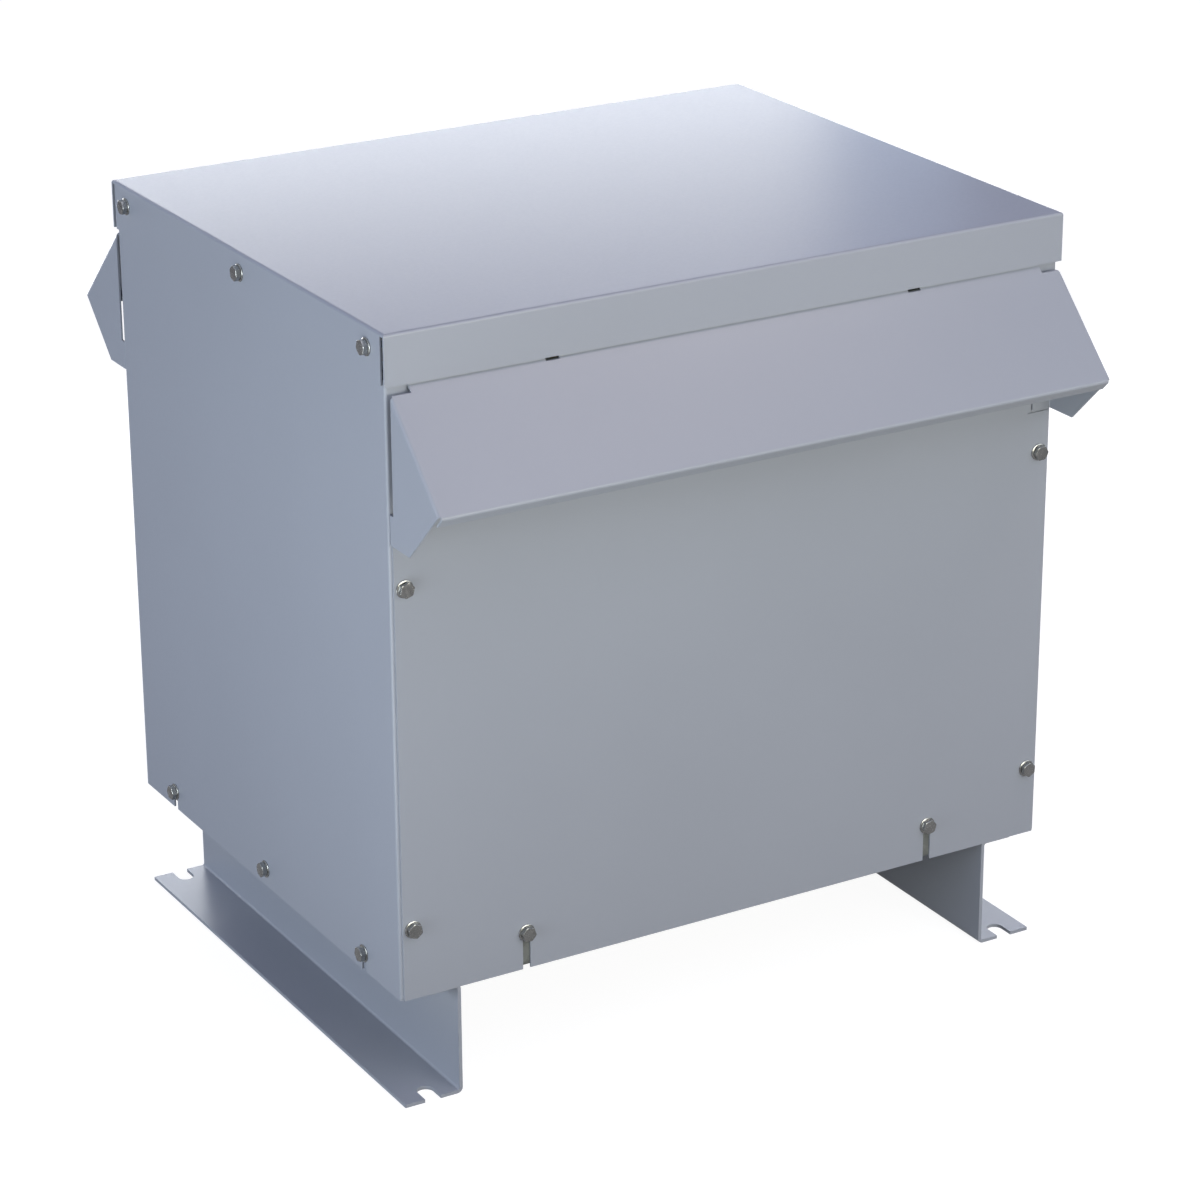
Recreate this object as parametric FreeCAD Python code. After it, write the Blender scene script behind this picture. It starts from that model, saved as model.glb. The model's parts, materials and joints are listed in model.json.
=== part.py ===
import FreeCAD, Part
import math
import os

# Ventilated dry-type transformer in a folded sheet-steel enclosure.
# Millimetres. +Z is up, X is the width, the front faces -Y.
# The origin is on the floor, in the middle of the footprint.

V = FreeCAD.Vector

# Driving sizes of the enclosure
LID_WIDTH = 620.0
LID_DEPTH = 491.0
TOTAL_HEIGHT = 649.0
SKIRT_HEIGHT = 41.0
FLOOR_GAP = 96.5
SHEET = 1.5
BEND = 1.0
FIT = 0.3
LID_SIDE_PLAY = 0.5
LID_FRONT_PLAY = 0.9
LID_CORNER_GAP = 4.5

# Panels
RETURN_WIDTH = 25.0
TOP_RETURN_WIDTH = 12.0
TOP_CORNER_RELIEF = 7.0
CORNER_RELIEF = 1.2
VENT_DEPTH = 88.0
TAB_CLEARANCE = 2.0
NOTCH_RELIEF_LENGTH = 2.5
NOTCH_RELIEF_HEIGHT = 1.2

# Air outlet hoods
HOOD_REACH = 78.7
HOOD_FLANGE_HEIGHT = 22.0
HOOD_FLANGE_INSET = 18.0
HOOD_NOTCH_DROP = 6.5
HOOD_SIDE_INSET = 1.0
HEM_WIDTH = 12.0
HEM_OFFSET = 2.8
GUSSET_GAP = 7.0
GUSSET_TIP_REACH = 31.7
HOOD_TAB_WIDTH = 18.7
HOOD_TAB_HEIGHT = 24.5
DRAIN_SLOT_WIDTH = 12.0
DRAIN_SLOT_HEIGHT = 3.0
DRAIN_SLOT_INSET = 142.0

# Foot rails
FOOT_SHEET = 3.0
FOOT_BEND = 2.0
FOOT_WEB_INSET = 51.2
FOOT_FLANGE_WIDTH = 49.0
FOOT_NOTCH_WIDTH = 14.3
FOOT_NOTCH_DEPTH = 20.0
FOOT_NOTCH_OUTSET = 24.2

# Base frame
BASE_SHEET = 2.5
BASE_RISE = 1.5
BASE_LEG_HEIGHT = 38.0
BASE_FLOOR_WIDTH = 60.0
SIDE_BASE_FLOOR_WIDTH = 48.0

# Top rails
TOP_RAIL_DROP = 47.0
TOP_RAIL_WIDTH = 32.0

# Hex washer head screws
SCREW_RADIUS = 3.0
SCREW_HOLE_RADIUS = 3.5
SCREW_WASHER_RADIUS = 7.5
SCREW_WASHER_HEIGHT = 1.2
SCREW_HEX = 11.1
SCREW_HEAD_HEIGHT = 4.3
SCREW_CHAMFER = 0.5
SCREW_LENGTH = 14.0
NUT_HEX = 10.0
NUT_HEIGHT = 5.0
NUT_BORE_RADIUS = 3.1
OPEN_SLOT_WIDTH = 7.0

# Screw places
LID_SCREW_DROP = 16.5
LID_SCREW_INSET = 28.0
SIDE_SCREW_RISE = 15.6
SIDE_SCREW_INSET = 62.1
EDGE_SCREW_INSET = 11.7
UPPER_EDGE_SCREW_DROP = 75.0
LOWER_EDGE_SCREW_RISE = 61.3
BOTTOM_SCREW_RISE = 32.0
BOTTOM_SCREW_INSET = 113.6

# Rivets of the hoods
RIVET_RADIUS = 2.4
RIVET_HEAD_RADIUS = 4.8
RIVET_HEAD_HEIGHT = 0.6
RIVET_TAIL_RADIUS = 3.6
RIVET_TAIL_HEIGHT = 2.5
RIVET_END_INSET = 57.0
RIVET_RISE = 12.0

# Laminated three-limb core
LIMB_WIDTH = 70.0
LIMB_PITCH = 150.0
YOKE_HEIGHT = 70.0
CORE_HEADROOM = 138.2
STACK_DEPTH = 100.0

# Coils, each a rounded rectangular tube around its limb
TUBE_PLAY = 1.0
TUBE_WALL = 2.0
COIL_PLAY = 0.3
LV_BUILD = 14.0
DUCT = 6.0
HV_BUILD = 12.0
COIL_END_GAP = 8.0
TUBE_CORNER = 2.0
SPACER_WIDTH = 8.0
SPACER_PITCH = 30.0
END_BLOCK_WIDTH = 20.0
END_BLOCK_PLAY = 0.3

# Core clamps, supports and pads
CLAMP_THICKNESS = 8.0
CLAMP_OVERHANG = 25.0
LOWER_LEG_WIDTH = 56.0
CLAMP_BOLT_RADIUS = 5.0
CLAMP_HOLE_PLAY = 0.6
CLAMP_HEX = 16.0
CLAMP_HEAD_HEIGHT = 6.5
CLAMP_BOLT_TAIL = 4.0
CLAMP_BOLT_OUTSET = 12.0
SUPPORT_INSET = 96.8
SUPPORT_WIDTH = 50.0
SUPPORT_HEIGHT = 24.0
SUPPORT_SHEET = 3.0
PAD_THICKNESS = 12.0
PAD_SIZE = 44.0
MOUNT_BOLT_RADIUS = 4.0
MOUNT_HOLE_PLAY = 0.5
MOUNT_HEX = 13.0
MOUNT_HEAD_HEIGHT = 5.3
MOUNT_NUT_HEIGHT = 6.5
BASE_BOLT_LENGTH = 16.0
SUPPORT_BOLT_LENGTH = 35.0

# Terminals
BOARD_THICKNESS = 10.0
BOARD_HEIGHT = 40.0
BOARD_LENGTH = 370.0
BOARD_RISE = 6.0
BOARD_SCREW_RADIUS = 2.5
BOARD_SCREW_HEX = 8.0
BOARD_SCREW_HEAD = 3.5
BOARD_SCREW_INSET = 10.0
BRACKET_SHEET = 3.0
BRACKET_WIDTH = 24.0
BAR_WIDTH = 24.0
BAR_THICKNESS = 4.0
BAR_OFFSET = 24.0
PHASE_BAR_RISE = 42.0
NEUTRAL_BAR_HEIGHT = 22.0
NEUTRAL_BAR_GAP = 10.0
NEUTRAL_BAR_OVERHANG = 30.0
TERMINAL_HOLE_RADIUS = 5.5
STUD_RADIUS = 4.0
STUD_HOLE_PLAY = 0.3
STUD_NUT_HEX = 13.0
STUD_TAIL = 2.0
STUD_NUT_HEIGHT = 6.5
LEAD_RADIUS = 3.0
LUG_WIDTH = 16.0
LUG_THICKNESS = 3.0
LUG_LENGTH = 20.0

# Earthing
STRAP_WIDTH = 20.0
STRAP_THICKNESS = 2.0
STRAP_LAP = 16.0
STRAP_RUN = 20.0
GROUND_SCREW_RADIUS = 2.5
GROUND_SCREW_HEX = 8.0
GROUND_SCREW_HEAD = 3.5
GROUND_SCREW_LENGTH = 7.0
LUG_OFFSET = 60.0
LUG_BLOCK_WIDTH = 16.0
LUG_BLOCK_LENGTH = 20.0
LUG_BLOCK_HEIGHT = 14.0
LUG_BLOCK_BORE = 4.5
LUG_TONGUE_LENGTH = 16.0
LUG_TONGUE_HEIGHT = 3.0
CLAMP_SCREW_RADIUS = 4.0
CLAMP_SCREW_HEIGHT = 6.0

# Planes worked out from the driving sizes
SIDE_X = LID_WIDTH / 2 - SHEET - LID_SIDE_PLAY
SIDE_INNER_X = SIDE_X - SHEET
FLANGE_Y = LID_DEPTH / 2 - SHEET - LID_FRONT_PLAY - SHEET
PLATE_Y = FLANGE_Y + SHEET
LID_UNDERSIDE = TOTAL_HEIGHT - SHEET
BODY_TOP = LID_UNDERSIDE - FIT
SKIRT_BOTTOM = TOTAL_HEIGHT - SKIRT_HEIGHT
PANEL_TOP = SKIRT_BOTTOM - VENT_DEPTH
OUTER_BEND = BEND + SHEET
BASE_BOTTOM = FLOOR_GAP + BASE_RISE
BASE_TOP = BASE_BOTTOM + BASE_SHEET + BASE_LEG_HEIGHT
MEMBER_HALF_X = SIDE_X - RETURN_WIDTH - FIT
RAIL_HALF_Y = FLANGE_Y - FIT
TAB_BOTTOM = SKIRT_BOTTOM - (2 * HOOD_REACH - GUSSET_TIP_REACH)
TAB_TOP = TAB_BOTTOM + HOOD_TAB_HEIGHT
HOOD_X = SIDE_X - HOOD_SIDE_INSET
LID_SCREW_Z = TOTAL_HEIGHT - LID_SCREW_DROP
SIDE_SCREW_Z = FLOOR_GAP + SIDE_SCREW_RISE
UPPER_EDGE_SCREW_Z = PANEL_TOP - UPPER_EDGE_SCREW_DROP
LOWER_EDGE_SCREW_Z = FLOOR_GAP + LOWER_EDGE_SCREW_RISE
BOTTOM_SCREW_Z = FLOOR_GAP + BOTTOM_SCREW_RISE
EDGE_SCREW_X = SIDE_X - EDGE_SCREW_INSET
FOOT_WEB_X = SIDE_X - FOOT_WEB_INSET
BASE_BOLT_X = (SIDE_INNER_X - SIDE_BASE_FLOOR_WIDTH + MEMBER_HALF_X) / 2
BASE_BOLT_Y = FLANGE_Y - BASE_FLOOR_WIDTH / 2
SUPPORT_OFFSET = FOOT_WEB_X - SUPPORT_INSET
FOOT_NOTCH_OFFSET = FOOT_WEB_X + FOOT_NOTCH_OUTSET
LID_SCREW_PITCH = LID_DEPTH / 2 - LID_SCREW_INSET
SIDE_SCREW_PITCH = FLANGE_Y - SIDE_SCREW_INSET
BOTTOM_SCREW_OFFSET = SIDE_X - BOTTOM_SCREW_INSET
DRAIN_SLOT_OFFSET = SIDE_X - DRAIN_SLOT_INSET
RIVET_END = HOOD_X - RIVET_END_INSET
RIVET_OFFSETS = (-RIVET_END, -RIVET_END / 3, RIVET_END / 3, RIVET_END)
BASE_FLOOR_TOP = BASE_BOTTOM + BASE_SHEET
SUPPORT_TOP = BASE_FLOOR_TOP + SUPPORT_HEIGHT
PAD_TOP = SUPPORT_TOP + PAD_THICKNESS
CORE_BOTTOM = PAD_TOP
WINDOW_BOTTOM = CORE_BOTTOM + YOKE_HEIGHT
CORE_TOP = BODY_TOP - CORE_HEADROOM
WINDOW_TOP = CORE_TOP - YOKE_HEIGHT
CORE_HALF_X = LIMB_PITCH + LIMB_WIDTH / 2
STACK_Y = STACK_DEPTH / 2
CLAMP_Y = STACK_Y + CLAMP_THICKNESS
CLAMP_HALF_X = CORE_HALF_X + CLAMP_OVERHANG
COIL_BOTTOM = WINDOW_BOTTOM + COIL_END_GAP
COIL_TOP = WINDOW_TOP - COIL_END_GAP
END_BOLT_X = CORE_HALF_X + CLAMP_BOLT_OUTSET
CLAMP_BOLT_XS = (-END_BOLT_X, -LIMB_PITCH / 2, LIMB_PITCH / 2, END_BOLT_X)
LOWER_CLAMP_BOLT_Z = WINDOW_BOTTOM - YOKE_HEIGHT / 2
UPPER_CLAMP_BOLT_Z = WINDOW_TOP + YOKE_HEIGHT / 2
PHASES = (("left", -LIMB_PITCH), ("centre", 0.0), ("right", LIMB_PITCH))
MOUNT_BOLT_Y = CLAMP_Y + (LOWER_LEG_WIDTH - CLAMP_THICKNESS) / 2
BOARD_BOTTOM = CORE_TOP + BOARD_RISE
BOARD_TOP = BOARD_BOTTOM + BOARD_HEIGHT
BOARD_MIDDLE = BOARD_BOTTOM + BOARD_HEIGHT / 2
BOARD_BACK_Y = CLAMP_Y + BRACKET_SHEET
BOARD_FACE_Y = BOARD_BACK_Y + BOARD_THICKNESS
BAR_FACE_Y = BOARD_FACE_Y + BAR_THICKNESS
NEUTRAL_BOTTOM = BOARD_BOTTOM + PHASE_BAR_RISE + NEUTRAL_BAR_GAP
NEUTRAL_TOP = NEUTRAL_BOTTOM + NEUTRAL_BAR_HEIGHT


# General helpers

def box(x0, x1, y0, y1, z0, z1):
    return Part.makeBox(x1 - x0, y1 - y0, z1 - z0, V(x0, y0, z0))


def rod(radius, start, axis, length):
    return Part.makeCylinder(radius, length, start, axis)


def hexagon(across_flats, start, axis, height):
    """A hexagonal prism that grows from start along axis, with flats to the sides."""
    corner = across_flats / math.sqrt(3.0)
    up = V(0, 0, 1) if abs(axis.z) < 0.5 else V(1, 0, 0)
    side = axis.cross(up)
    points = []
    for i in range(6):
        angle = math.radians(60 * i)
        points.append(start + up * (corner * math.cos(angle)) + side * (corner * math.sin(angle)))
    points.append(points[0])
    return Part.Face(Part.makePolygon(points)).extrude(axis * height)


def half_turn(shape):
    """The same piece for the opposite side of the enclosure."""
    turned = shape.copy()
    turned.rotate(V(0, 0, 0), V(0, 0, 1), 180)
    return turned


def place(plane, a, b, c):
    """A point of a drawing plane: yz, xz or xy, with c across it."""
    if plane == "yz":
        return V(c, a, b)
    if plane == "xz":
        return V(a, c, b)
    return V(a, b, c)


def prism(plane, points, start, end):
    """A flat outline in a drawing plane, extruded across it from start to end."""
    corners = [place(plane, a, b, start) for a, b in points]
    corners.append(corners[0])
    travel = place(plane, 0, 0, end - start)
    return Part.Face(Part.makePolygon(corners)).extrude(travel)


def direction(p, q):
    length = math.hypot(q[0] - p[0], q[1] - p[1])
    return ((q[0] - p[0]) / length, (q[1] - p[1]) / length)


def left_offset(points, distance):
    """The polyline shifted to its left, mitred at its corners."""
    shifted = []
    last = len(points) - 1
    for i, (a, b) in enumerate(points):
        before = direction(points[max(i - 1, 0)], points[max(i, 1)])
        after = direction(points[min(i, last - 1)], points[min(i + 1, last)])
        na = -before[1] - after[1]
        nb = before[0] + after[0]
        scale = distance / (1 + before[0] * after[0] + before[1] * after[1])
        shifted.append((a + na * scale, b + nb * scale))
    return shifted


def rounded_edges(plane, points, radii, c):
    """Lines and tangent arcs along a polyline, with a radius at each inner corner."""
    edges = []
    start = points[0]
    for i in range(1, len(points) - 1):
        corner = points[i]
        back = direction(corner, points[i - 1])
        ahead = direction(corner, points[i + 1])
        half = math.acos(back[0] * ahead[0] + back[1] * ahead[1]) / 2
        radius = radii[i - 1]
        reach = radius / math.tan(half)
        first = (corner[0] + back[0] * reach, corner[1] + back[1] * reach)
        second = (corner[0] + ahead[0] * reach, corner[1] + ahead[1] * reach)
        middle = direction(corner, ((first[0] + second[0]) / 2, (first[1] + second[1]) / 2))
        depth = radius / math.sin(half) - radius
        crown = (corner[0] + middle[0] * depth, corner[1] + middle[1] * depth)
        edges.append(Part.makeLine(place(plane, *start, c), place(plane, *first, c)))
        arc = Part.Arc(place(plane, *first, c), place(plane, *crown, c), place(plane, *second, c))
        edges.append(arc.toShape())
        start = second
    edges.append(Part.makeLine(place(plane, *start, c), place(plane, *points[-1], c)))
    return edges


def folded(plane, points, thickness, inner_radius, start, end):
    """A folded sheet: one face follows the points, and the sheet lies to their left."""
    near_radii = []
    far_radii = []
    for i in range(1, len(points) - 1):
        before = direction(points[i - 1], points[i])
        after = direction(points[i], points[i + 1])
        turns_left = before[0] * after[1] - before[1] * after[0] > 0
        near_radii.append(inner_radius + thickness if turns_left else inner_radius)
        far_radii.append(inner_radius if turns_left else inner_radius + thickness)
    far = left_offset(points, thickness)
    near_edges = rounded_edges(plane, points, near_radii, start)
    far_edges = rounded_edges(plane, far, far_radii, start)
    first = place(plane, *points[0], start)
    last = place(plane, *points[-1], start)
    far_first = place(plane, *far[0], start)
    far_last = place(plane, *far[-1], start)
    ends = [Part.makeLine(last, far_last), Part.makeLine(first, far_first)]
    wire = Part.Wire(Part.__sortEdges__(near_edges + far_edges + ends))
    return Part.Face(wire).extrude(place(plane, 0, 0, end - start))


def rounded_block(half_x, half_y, corner, z0, z1, x=0.0):
    """A block with rounded vertical edges, centred on x."""
    block = box(x - half_x, x + half_x, -half_y, half_y, z0, z1)
    edges = [e for e in block.Edges if abs(e.Vertexes[0].Z - e.Vertexes[-1].Z) > 1.0]
    return block.makeFillet(corner, edges)


def washer_screw(seat, axis):
    """A hex washer head screw whose washer lies on seat; axis points out of the head."""
    washer = rod(SCREW_WASHER_RADIUS, seat, axis, SCREW_WASHER_HEIGHT)
    crown = hexagon(SCREW_HEX, seat + axis * SCREW_WASHER_HEIGHT, axis, SCREW_HEAD_HEIGHT)
    edges = [e for e in crown.Edges if (e.CenterOfMass - seat).dot(axis) > SCREW_HEAD_HEIGHT]
    crown = crown.makeChamfer(SCREW_CHAMFER, edges)
    shank = rod(SCREW_RADIUS, seat - axis * SCREW_LENGTH, axis, SCREW_LENGTH)
    return washer.fuse([crown, shank]).removeSplitter()


def weld_nut(seat, axis):
    """A hex nut welded to the back of a sheet; axis points away from the sheet."""
    body = hexagon(NUT_HEX, seat, axis, NUT_HEIGHT)
    return body.cut(rod(NUT_BORE_RADIUS, seat, axis, NUT_HEIGHT))


def machine_bolt(seat, axis, radius, across_flats, head_height, length):
    """A hex bolt whose head lies on seat; axis points out of the head."""
    head = hexagon(across_flats, seat, axis, head_height)
    return head.fuse(rod(radius, seat - axis * length, axis, length)).removeSplitter()


def plain_nut(seat, axis, radius, across_flats, height):
    body = hexagon(across_flats, seat, axis, height)
    return body.cut(rod(radius + NUT_BORE_RADIUS - SCREW_RADIUS, seat, axis, height))


# Screw places, each a seat point with the direction that the head faces

def lid_screw_places():
    places = []
    for side in (-1, 1):
        for y in (-LID_SCREW_PITCH, 0.0, LID_SCREW_PITCH):
            places.append((V(side * LID_WIDTH / 2, y, LID_SCREW_Z), V(side, 0, 0)))
    return places


def side_screw_places():
    places = []
    for side in (-1, 1):
        for y in (-SIDE_SCREW_PITCH, 0.0, SIDE_SCREW_PITCH):
            places.append((V(side * SIDE_X, y, SIDE_SCREW_Z), V(side, 0, 0)))
    return places


def edge_screw_places(face):
    places = []
    for x in (-EDGE_SCREW_X, EDGE_SCREW_X):
        for z in (LOWER_EDGE_SCREW_Z, UPPER_EDGE_SCREW_Z):
            places.append((V(x, face * PLATE_Y, z), V(0, face, 0)))
    return places


def bottom_screw_places(face):
    places = []
    for x in (-BOTTOM_SCREW_OFFSET, BOTTOM_SCREW_OFFSET):
        places.append((V(x, face * PLATE_Y, BOTTOM_SCREW_Z), V(0, face, 0)))
    return places


def screw_holes(places, depth=3 * SCREW_LENGTH):
    holes = []
    for seat, axis in places:
        holes.append(rod(SCREW_HOLE_RADIUS, seat - axis * depth, axis, 2 * depth))
    return holes


def open_slot(x, z, face):
    """A slot in a front or rear sheet that is open at the panel's lower edge."""
    half = OPEN_SLOT_WIDTH / 2
    y0 = face * FLANGE_Y - 10.0
    cut = box(x - half, x + half, y0, y0 + 20.0, FLOOR_GAP - 5.0, z)
    return cut.fuse(rod(half, V(x, y0, z), V(0, 1, 0), 20.0))


# Enclosure pieces

def top_cover():
    """A lid with four folded skirts; the side skirts stop short of the front and rear ones."""
    half_x = LID_WIDTH / 2
    half_y = LID_DEPTH / 2
    outer = box(-half_x, half_x, -half_y, half_y, SKIRT_BOTTOM, TOTAL_HEIGHT)
    rim = [e for e in outer.Edges if min(v.Z for v in e.Vertexes) > TOTAL_HEIGHT - 1]
    outer = outer.makeFillet(OUTER_BEND, rim)
    inner = box(-half_x + SHEET, half_x - SHEET, -half_y + SHEET, half_y - SHEET,
                SKIRT_BOTTOM - 1, LID_UNDERSIDE)
    rim = [e for e in inner.Edges if min(v.Z for v in e.Vertexes) > LID_UNDERSIDE - 1]
    lid = outer.cut(inner.makeFillet(BEND, rim))
    for sx in (-1, 1):
        for sy in (-1, 1):
            x0 = sx * (half_x - SHEET - FIT)
            x1 = sx * (half_x + 1)
            y0 = sy * (half_y - SHEET)
            y1 = y0 - sy * LID_CORNER_GAP
            slit = box(min(x0, x1), max(x0, x1), min(y0, y1), max(y0, y1),
                       SKIRT_BOTTOM - 1, TOTAL_HEIGHT - OUTER_BEND)
            lid = lid.cut(slit)
    return lid.cut(screw_holes(lid_screw_places()))


def left_side_panel():
    """A side sheet with a return along each upright edge and a short one at the top."""
    inset = SIDE_X - RETURN_WIDTH
    uprights_top = BODY_TOP - SHEET - FIT
    plan = [(-inset, -FLANGE_Y), (-SIDE_X, -FLANGE_Y), (-SIDE_X, FLANGE_Y), (-inset, FLANGE_Y)]
    plan.reverse()
    wrap = folded("xy", plan, SHEET, BEND, FLOOR_GAP, uprights_top)
    span = FLANGE_Y - TOP_RAIL_WIDTH - 2 * FIT
    edge = [(-SIDE_X, uprights_top - OUTER_BEND), (-SIDE_X, BODY_TOP),
            (-SIDE_X + TOP_RETURN_WIDTH, BODY_TOP)]
    edge.reverse()
    top = folded("xz", edge, SHEET, BEND, -span, span)
    panel = wrap.fuse(top).removeSplitter()
    for y in (-FLANGE_Y, FLANGE_Y):
        panel = panel.cut(Part.makeSphere(CORNER_RELIEF, V(-SIDE_X + SHEET / 2, y, FLOOR_GAP)))
        half = TOP_CORNER_RELIEF
        panel = panel.cut(box(-SIDE_X - 1, -SIDE_X + half, y - half, y + half,
                              SKIRT_BOTTOM + 2 * SHEET, TOTAL_HEIGHT))
    holes = screw_holes(side_screw_places() + lid_screw_places())
    holes += screw_holes(edge_screw_places(-1) + edge_screw_places(1))
    for y in (-SIDE_SCREW_PITCH, SIDE_SCREW_PITCH):
        half = OPEN_SLOT_WIDTH / 2
        holes.append(box(-SIDE_X - 1, -SIDE_INNER_X + 1, y - half, y + half,
                         FLOOR_GAP - 1, SIDE_SCREW_Z))
    return panel.cut(holes)


def front_panel():
    """A flat plate on the side panels' returns, notched around the tabs of the hood."""
    half_x = SIDE_X - OUTER_BEND - FIT
    plate = box(-half_x, half_x, -PLATE_Y, -FLANGE_Y, FLOOR_GAP, PANEL_TOP)
    notch_x = HOOD_X - HOOD_TAB_WIDTH - TAB_CLEARANCE
    notch_z = TAB_BOTTOM - TAB_CLEARANCE
    cuts = screw_holes(edge_screw_places(-1))
    cuts.append(box(-SIDE_X, -notch_x, -PLATE_Y - 1, -FLANGE_Y + 1, notch_z, PANEL_TOP + 1))
    cuts.append(box(notch_x, SIDE_X, -PLATE_Y - 1, -FLANGE_Y + 1, notch_z, PANEL_TOP + 1))
    relief_x = notch_x - NOTCH_RELIEF_LENGTH
    for x0, x1 in ((-notch_x, -relief_x), (relief_x, notch_x)):
        cuts.append(box(x0, x1, -PLATE_Y - 1, -FLANGE_Y + 1, notch_z,
                        notch_z + NOTCH_RELIEF_HEIGHT))
    for x in (-BOTTOM_SCREW_OFFSET, BOTTOM_SCREW_OFFSET):
        cuts.append(open_slot(x, BOTTOM_SCREW_Z, -1))
    return plate.cut(cuts)


def hood_point(reach, drop):
    """A point of the front hood's side view, from the flange plane and the skirt's edge."""
    return (-FLANGE_Y - reach, SKIRT_BOTTOM - drop)


def hood_sheet():
    """The hood's upper flange, sloping face and lower hem, as one folded strip."""
    corner = HOOD_REACH + HEM_OFFSET / math.sqrt(2)
    hem = HEM_WIDTH / math.sqrt(2)
    side = [hood_point(SHEET, -HOOD_FLANGE_HEIGHT), hood_point(SHEET, SHEET),
            hood_point(corner, corner), hood_point(corner - hem, corner + hem)]
    half = HOOD_X - OUTER_BEND
    strip = folded("yz", side, SHEET, BEND, -half, half)
    flange_half = HOOD_X - HOOD_FLANGE_INSET
    for sx in (-1, 1):
        x0, x1 = sorted((sx * flange_half, sx * HOOD_X))
        strip = strip.cut(box(x0, x1, -PLATE_Y - HOOD_REACH, -FLANGE_Y + 1,
                              SKIRT_BOTTOM - HOOD_NOTCH_DROP, TOTAL_HEIGHT))
    return strip


def hood_gussets():
    """The sloping face's two ends, folded down as three-cornered side walls."""
    drop = 2 * HOOD_REACH - GUSSET_TIP_REACH
    top = HOOD_NOTCH_DROP
    outline = [hood_point(top, top), hood_point(HOOD_REACH, HOOD_REACH),
               hood_point(GUSSET_TIP_REACH, drop), hood_point(top, drop)]
    outer = prism("yz", outline, -HOOD_X, HOOD_X)
    slope_ends = []
    for e in outer.Edges:
        runs = abs(e.Vertexes[0].Y - e.Vertexes[-1].Y) > HOOD_REACH / 2
        high = e.CenterOfMass.z > SKIRT_BOTTOM - HOOD_REACH
        if runs and high:
            slope_ends.append(e)
    outer = outer.makeFillet(OUTER_BEND, slope_ends)
    shift = SHEET * math.sqrt(2)
    below = drop + HOOD_REACH
    inside = [hood_point(-SHEET, -SHEET + shift),
              hood_point(2 * HOOD_REACH, 2 * HOOD_REACH + shift),
              hood_point(2 * HOOD_REACH, below + HOOD_REACH), hood_point(-SHEET, below)]
    inner = prism("yz", inside, -HOOD_X + SHEET, HOOD_X - SHEET)
    slope_ends = []
    for e in inner.Edges:
        slanted = abs(e.Vertexes[0].Y - e.Vertexes[-1].Y) > HOOD_REACH / 2
        if slanted and abs(e.Vertexes[0].X - e.Vertexes[-1].X) < 1:
            if e.CenterOfMass.z > SKIRT_BOTTOM - HOOD_REACH - shift - 1:
                slope_ends.append(e)
    inner = inner.makeFillet(BEND, slope_ends)
    walls = outer.cut(inner)
    gap = box(-HOOD_X - 1, HOOD_X + 1, -FLANGE_Y - GUSSET_GAP, -FLANGE_Y + 1,
              SKIRT_BOTTOM - drop - 1, SKIRT_BOTTOM - GUSSET_GAP)
    return walls.cut(gap)


def hood_tabs():
    """The walls' lower ends, folded in flat against the side panels' returns."""
    tabs = []
    for sx in (-1, 1):
        plan = [(sx * HOOD_X, -FLANGE_Y - GUSSET_GAP), (sx * HOOD_X, -FLANGE_Y),
                (sx * (HOOD_X - HOOD_TAB_WIDTH), -FLANGE_Y)]
        if sx < 0:
            plan.reverse()
        tabs.append(folded("xy", plan, SHEET, BEND, TAB_BOTTOM, TAB_TOP))
    return tabs


def drain_slots():
    """Two slots through the hood's upper flange and the top rail's leg behind it."""
    half = DRAIN_SLOT_WIDTH / 2
    z0 = SKIRT_BOTTOM - 2 * SHEET
    slots = []
    for x in (-DRAIN_SLOT_OFFSET, DRAIN_SLOT_OFFSET):
        slots.append(box(x - half, x + half, -PLATE_Y - DRAIN_SLOT_HEIGHT,
                         -FLANGE_Y + 2 * SHEET, z0, z0 + DRAIN_SLOT_HEIGHT))
    return slots


def front_hood():
    hood = hood_sheet().fuse([hood_gussets()] + hood_tabs()).removeSplitter()
    cuts = drain_slots()
    for x in RIVET_OFFSETS:
        cuts.append(rod(RIVET_RADIUS, V(x, -PLATE_Y - 1, SKIRT_BOTTOM + RIVET_RISE),
                        V(0, 1, 0), SHEET + 2))
    return hood.cut(cuts)


def left_foot_rail():
    """A heavy folded channel: a web with a floor flange and a narrower top flange turned out."""
    outer = -FOOT_WEB_X - FOOT_FLANGE_WIDTH
    web = -FOOT_WEB_X + FOOT_SHEET
    section = [(outer, 0.0), (web, 0.0), (web, BASE_BOTTOM), (-MEMBER_HALF_X, BASE_BOTTOM)]
    rail = folded("xz", section, FOOT_SHEET, FOOT_BEND, -RAIL_HALF_Y, RAIL_HALF_Y)
    half = FOOT_NOTCH_WIDTH / 2
    cuts = []
    for sy in (-1, 1):
        centre = sy * (RAIL_HALF_Y - FOOT_NOTCH_DEPTH + half)
        y0, y1 = sorted((centre, sy * (RAIL_HALF_Y + 1)))
        x = -FOOT_NOTCH_OFFSET
        cuts.append(box(x - half, x + half, y0, y1, -1, FOOT_SHEET + 1))
        cuts.append(rod(half, V(x, centre, -1), V(0, 0, 1), FOOT_SHEET + 2))
        cuts.append(base_bolt_hole(-BASE_BOLT_X, sy * BASE_BOLT_Y))
    return rail.cut(cuts)


def base_bolt_hole(x, y):
    return rod(MOUNT_BOLT_RADIUS + MOUNT_HOLE_PLAY, V(x, y, BASE_BOTTOM - 10), V(0, 0, 1), 20)


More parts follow.
